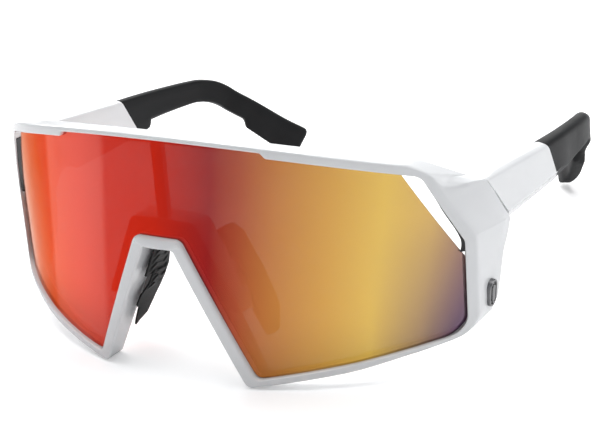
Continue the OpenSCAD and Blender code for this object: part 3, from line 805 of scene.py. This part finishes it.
def makeBadge(side):
    form = badgeForm
    sign = 1 if side == "left" else -1
    low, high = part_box("badge_" + side)
    bm = bmesh.new()
    bmesh.ops.create_circle(bm, cap_ends=True, segments=form["corners"], radius=form["width"] / 2)
    for vert in bm.verts:
        if abs(vert.co.y) > 1e-6:
            vert.co.y += math.copysign((form["length"] - form["width"]) / 2, vert.co.y)
    raised = bmesh.ops.extrude_face_region(bm, geom=list(bm.faces))
    lifted = [part for part in raised["geom"] if isinstance(part, bmesh.types.BMVert)]
    bmesh.ops.translate(bm, vec=(0, 0, form["thick"]), verts=lifted)
    top = max(bm.faces, key=lambda f: f.calc_center_median().z)
    bmesh.ops.inset_region(bm, faces=[top], thickness=form["edge"], depth=form["edgeHigh"])
    bmesh.ops.inset_region(bm, faces=[top], thickness=form["rim"] - form["edge"])
    bmesh.ops.inset_region(bm, faces=[top], thickness=form["slope"], depth=-form["sunk"])
    bmesh.ops.inset_region(bm, faces=[top], thickness=form["bar"])
    bmesh.ops.inset_region(bm, faces=[top], thickness=form["barSlope"], depth=form["sunk"] + form["barHigh"])
    bmesh.ops.scale(bm, vec=(mm, mm, mm), verts=bm.verts)
    leaned = Matrix.Rotation(math.radians(form["lean"]) * sign, 4, "Y")
    outward = max(abs(low.x), abs(high.x)) + (form["proud"] - form["thick"]) * mm
    middle = Vector((sign * outward, (low.y + high.y) / 2, (low.z + high.z) / 2))
    upright = Matrix.Rotation(math.radians(90), 4, "X")
    outwards = Matrix.Rotation(math.radians(90) * sign, 4, "Z")
    bmesh.ops.transform(bm, matrix=Matrix.Translation(middle) @ leaned @ outwards @ upright, verts=bm.verts)
    bmesh.ops.recalc_face_normals(bm, faces=bm.faces)
    piece = link("badgePlate." + side, bm, badgeMetal, "front", ("badge_" + side,))
    sharpen(piece, 30)


# black strip along the vent's inner edge, thin above and widening to the latch at its foot

ventStripForm = {"start": 1.04, "low": 26.5, "thin": 0.35, "foot": 1.9, "front": 88.75, "behind": 86.0, "back": 84.9}


def makeVentStrip(side):
    form = ventStripForm
    rings = []
    for inner, outer, stretch in ringStations():
        if not (form["start"] <= stretch <= 2.5 and inner.y >= form["low"] and inner.x > 58.0):
            continue
        away = (outer - inner).normalized()
        width = form["thin"] + (form["foot"] - form["thin"]) * (1 - easy(inner.y, 28.0, 38.0)) ** 1.5
        width *= 0.4 + 0.6 * easy(inner.y, 29.6, 32.0) * (1 - 0.8 * easy(inner.y, 41.0, 45.0))
        near, far = inner + away * 0.04, inner - away * width
        front = form["behind"] + (form["front"] - form["behind"]) * easy(inner.y, 30.0, 31.2)
        rings.append([Vector((p.x, depthAt(r, p.x), p.y)) for p, r in (
            (near, front), (far, front - 0.25), (far, form["back"]), (near, form["back"]), (near, front))])
    bm = closedLoft(onSide(rings, side))
    piece = link("ventLatch." + side, bm, black, "front", ("lens_latch_" + side,))
    sharpen(piece, 40)


# stage

stageSet = {
    "floor": (0.93, 0.93, 0.935),
    "floorGlow": 0.3,
    "world": (0.95, 0.97, 1.0),
    "worldStrength": 0.30,
    "lights": (
        # name, place, aim, width, depth, power
        ("above", (-0.1, 0.15, 0.9), (0, 0, 0.03), 1.0, 1.0, 11.0),
        ("behind", (-0.55, 0.85, 0.42), (0, 0, 0.03), 1.2, 0.6, 3.5),
        ("beside", (0.9, 0.45, 0.3), (0.06, 0, 0.03), 0.6, 0.4, 1.5),
    ),
}


def makeStage():
    bm = bmesh.new()
    bmesh.ops.create_grid(bm, x_segments=4, y_segments=4, size=4.0)
    mesh = bpy.data.meshes.new("floor")
    bm.to_mesh(mesh)
    bm.free()
    floor = bpy.data.objects.new("floor", mesh)
    bpy.context.scene.collection.objects.link(floor)
    paint = newMaterial("floorPaint")
    paint[3].inputs["Base Color"].default_value = (*stageSet["floor"], 1)
    paint[3].inputs["Roughness"].default_value = 0.8
    paint[3].inputs["Emission Color"].default_value = (1, 1, 1, 1)
    nodes, links = paint[0].node_tree.nodes, paint[0].node_tree.links
    sight = nodes.new("ShaderNodeLightPath")
    glow = nodes.new("ShaderNodeMapRange")
    glow.inputs["To Max"].default_value = stageSet["floorGlow"]
    links.new(sight.outputs["Is Camera Ray"], glow.inputs["Value"])
    links.new(glow.outputs["Result"], paint[3].inputs["Emission Strength"])
    giveMaterial(floor, paint[0])
    world = bpy.data.worlds.new("studio")
    world.use_nodes = True
    back = world.node_tree.nodes["Background"]
    back.inputs["Color"].default_value = (*stageSet["world"], 1)
    path = world.node_tree.nodes.new("ShaderNodeLightPath")
    seen = world.node_tree.nodes.new("ShaderNodeMapRange")
    seen.inputs["To Min"].default_value = stageSet["worldStrength"]
    seen.inputs["To Max"].default_value = 1.0
    world.node_tree.links.new(path.outputs["Is Camera Ray"], seen.inputs["Value"])
    world.node_tree.links.new(seen.outputs["Result"], back.inputs["Strength"])
    bpy.context.scene.world = world
    for name, place, aim, width, depth, power in stageSet["lights"]:
        data = bpy.data.lights.new(name, "AREA")
        data.shape = "RECTANGLE"
        data.size, data.size_y, data.energy = width, depth, power
        lamp = bpy.data.objects.new(name, data)
        lamp.location = place
        lamp.rotation_euler = (Vector(aim) - Vector(place)).to_track_quat("-Z", "Y").to_euler()
        bpy.context.scene.collection.objects.link(lamp)
    bpy.context.scene.view_settings.view_transform = "Standard"


# the glasses

white = makeWhite()
rubber = makeRubber()
padRubber = makePadRubber()
black = makeBlackPlastic()
nylon = makeNylon()
steel = makeSteel()
badgeMetal = makeBadgeMetal()
mirror = makeMirror()

makeCamera()
makeStage()
print("camera and stage ready")

makeFrame()
makeBridgePlate()
makeLens()
softCopy("nose_bridge", "noseArch", nylon, 0.0003, 2, 30.0)
for side in ("left", "right"):
    makeLimb(armRings(), "templeArm", "temple_", white, side, 34)
    makeLimb(sleeveRings(), "sleeve", "temple_sleeve_", rubber, side, 50)
    makeVentStrip(side)
    makeBadge(side)
    makePadGrip(side)
    softCopy("nose_pad_" + side, "nosePad." + side, padRubber, 0.0004)
    softCopy("nose_pad_core_" + side, "padCarrier." + side, black, 0.0001)
    for node, name in (("hinge_leaf_", "hingeLeaf."), ("temple_leaf_", "armLeaf.")):
        softCopy(node + side, name + side, steel, 0.00012, 2, 35.0)
    softCopy("hinge_screw_" + side, "hingeScrew." + side, steel, 0.00008, 2, 35.0)
print("pieces made")
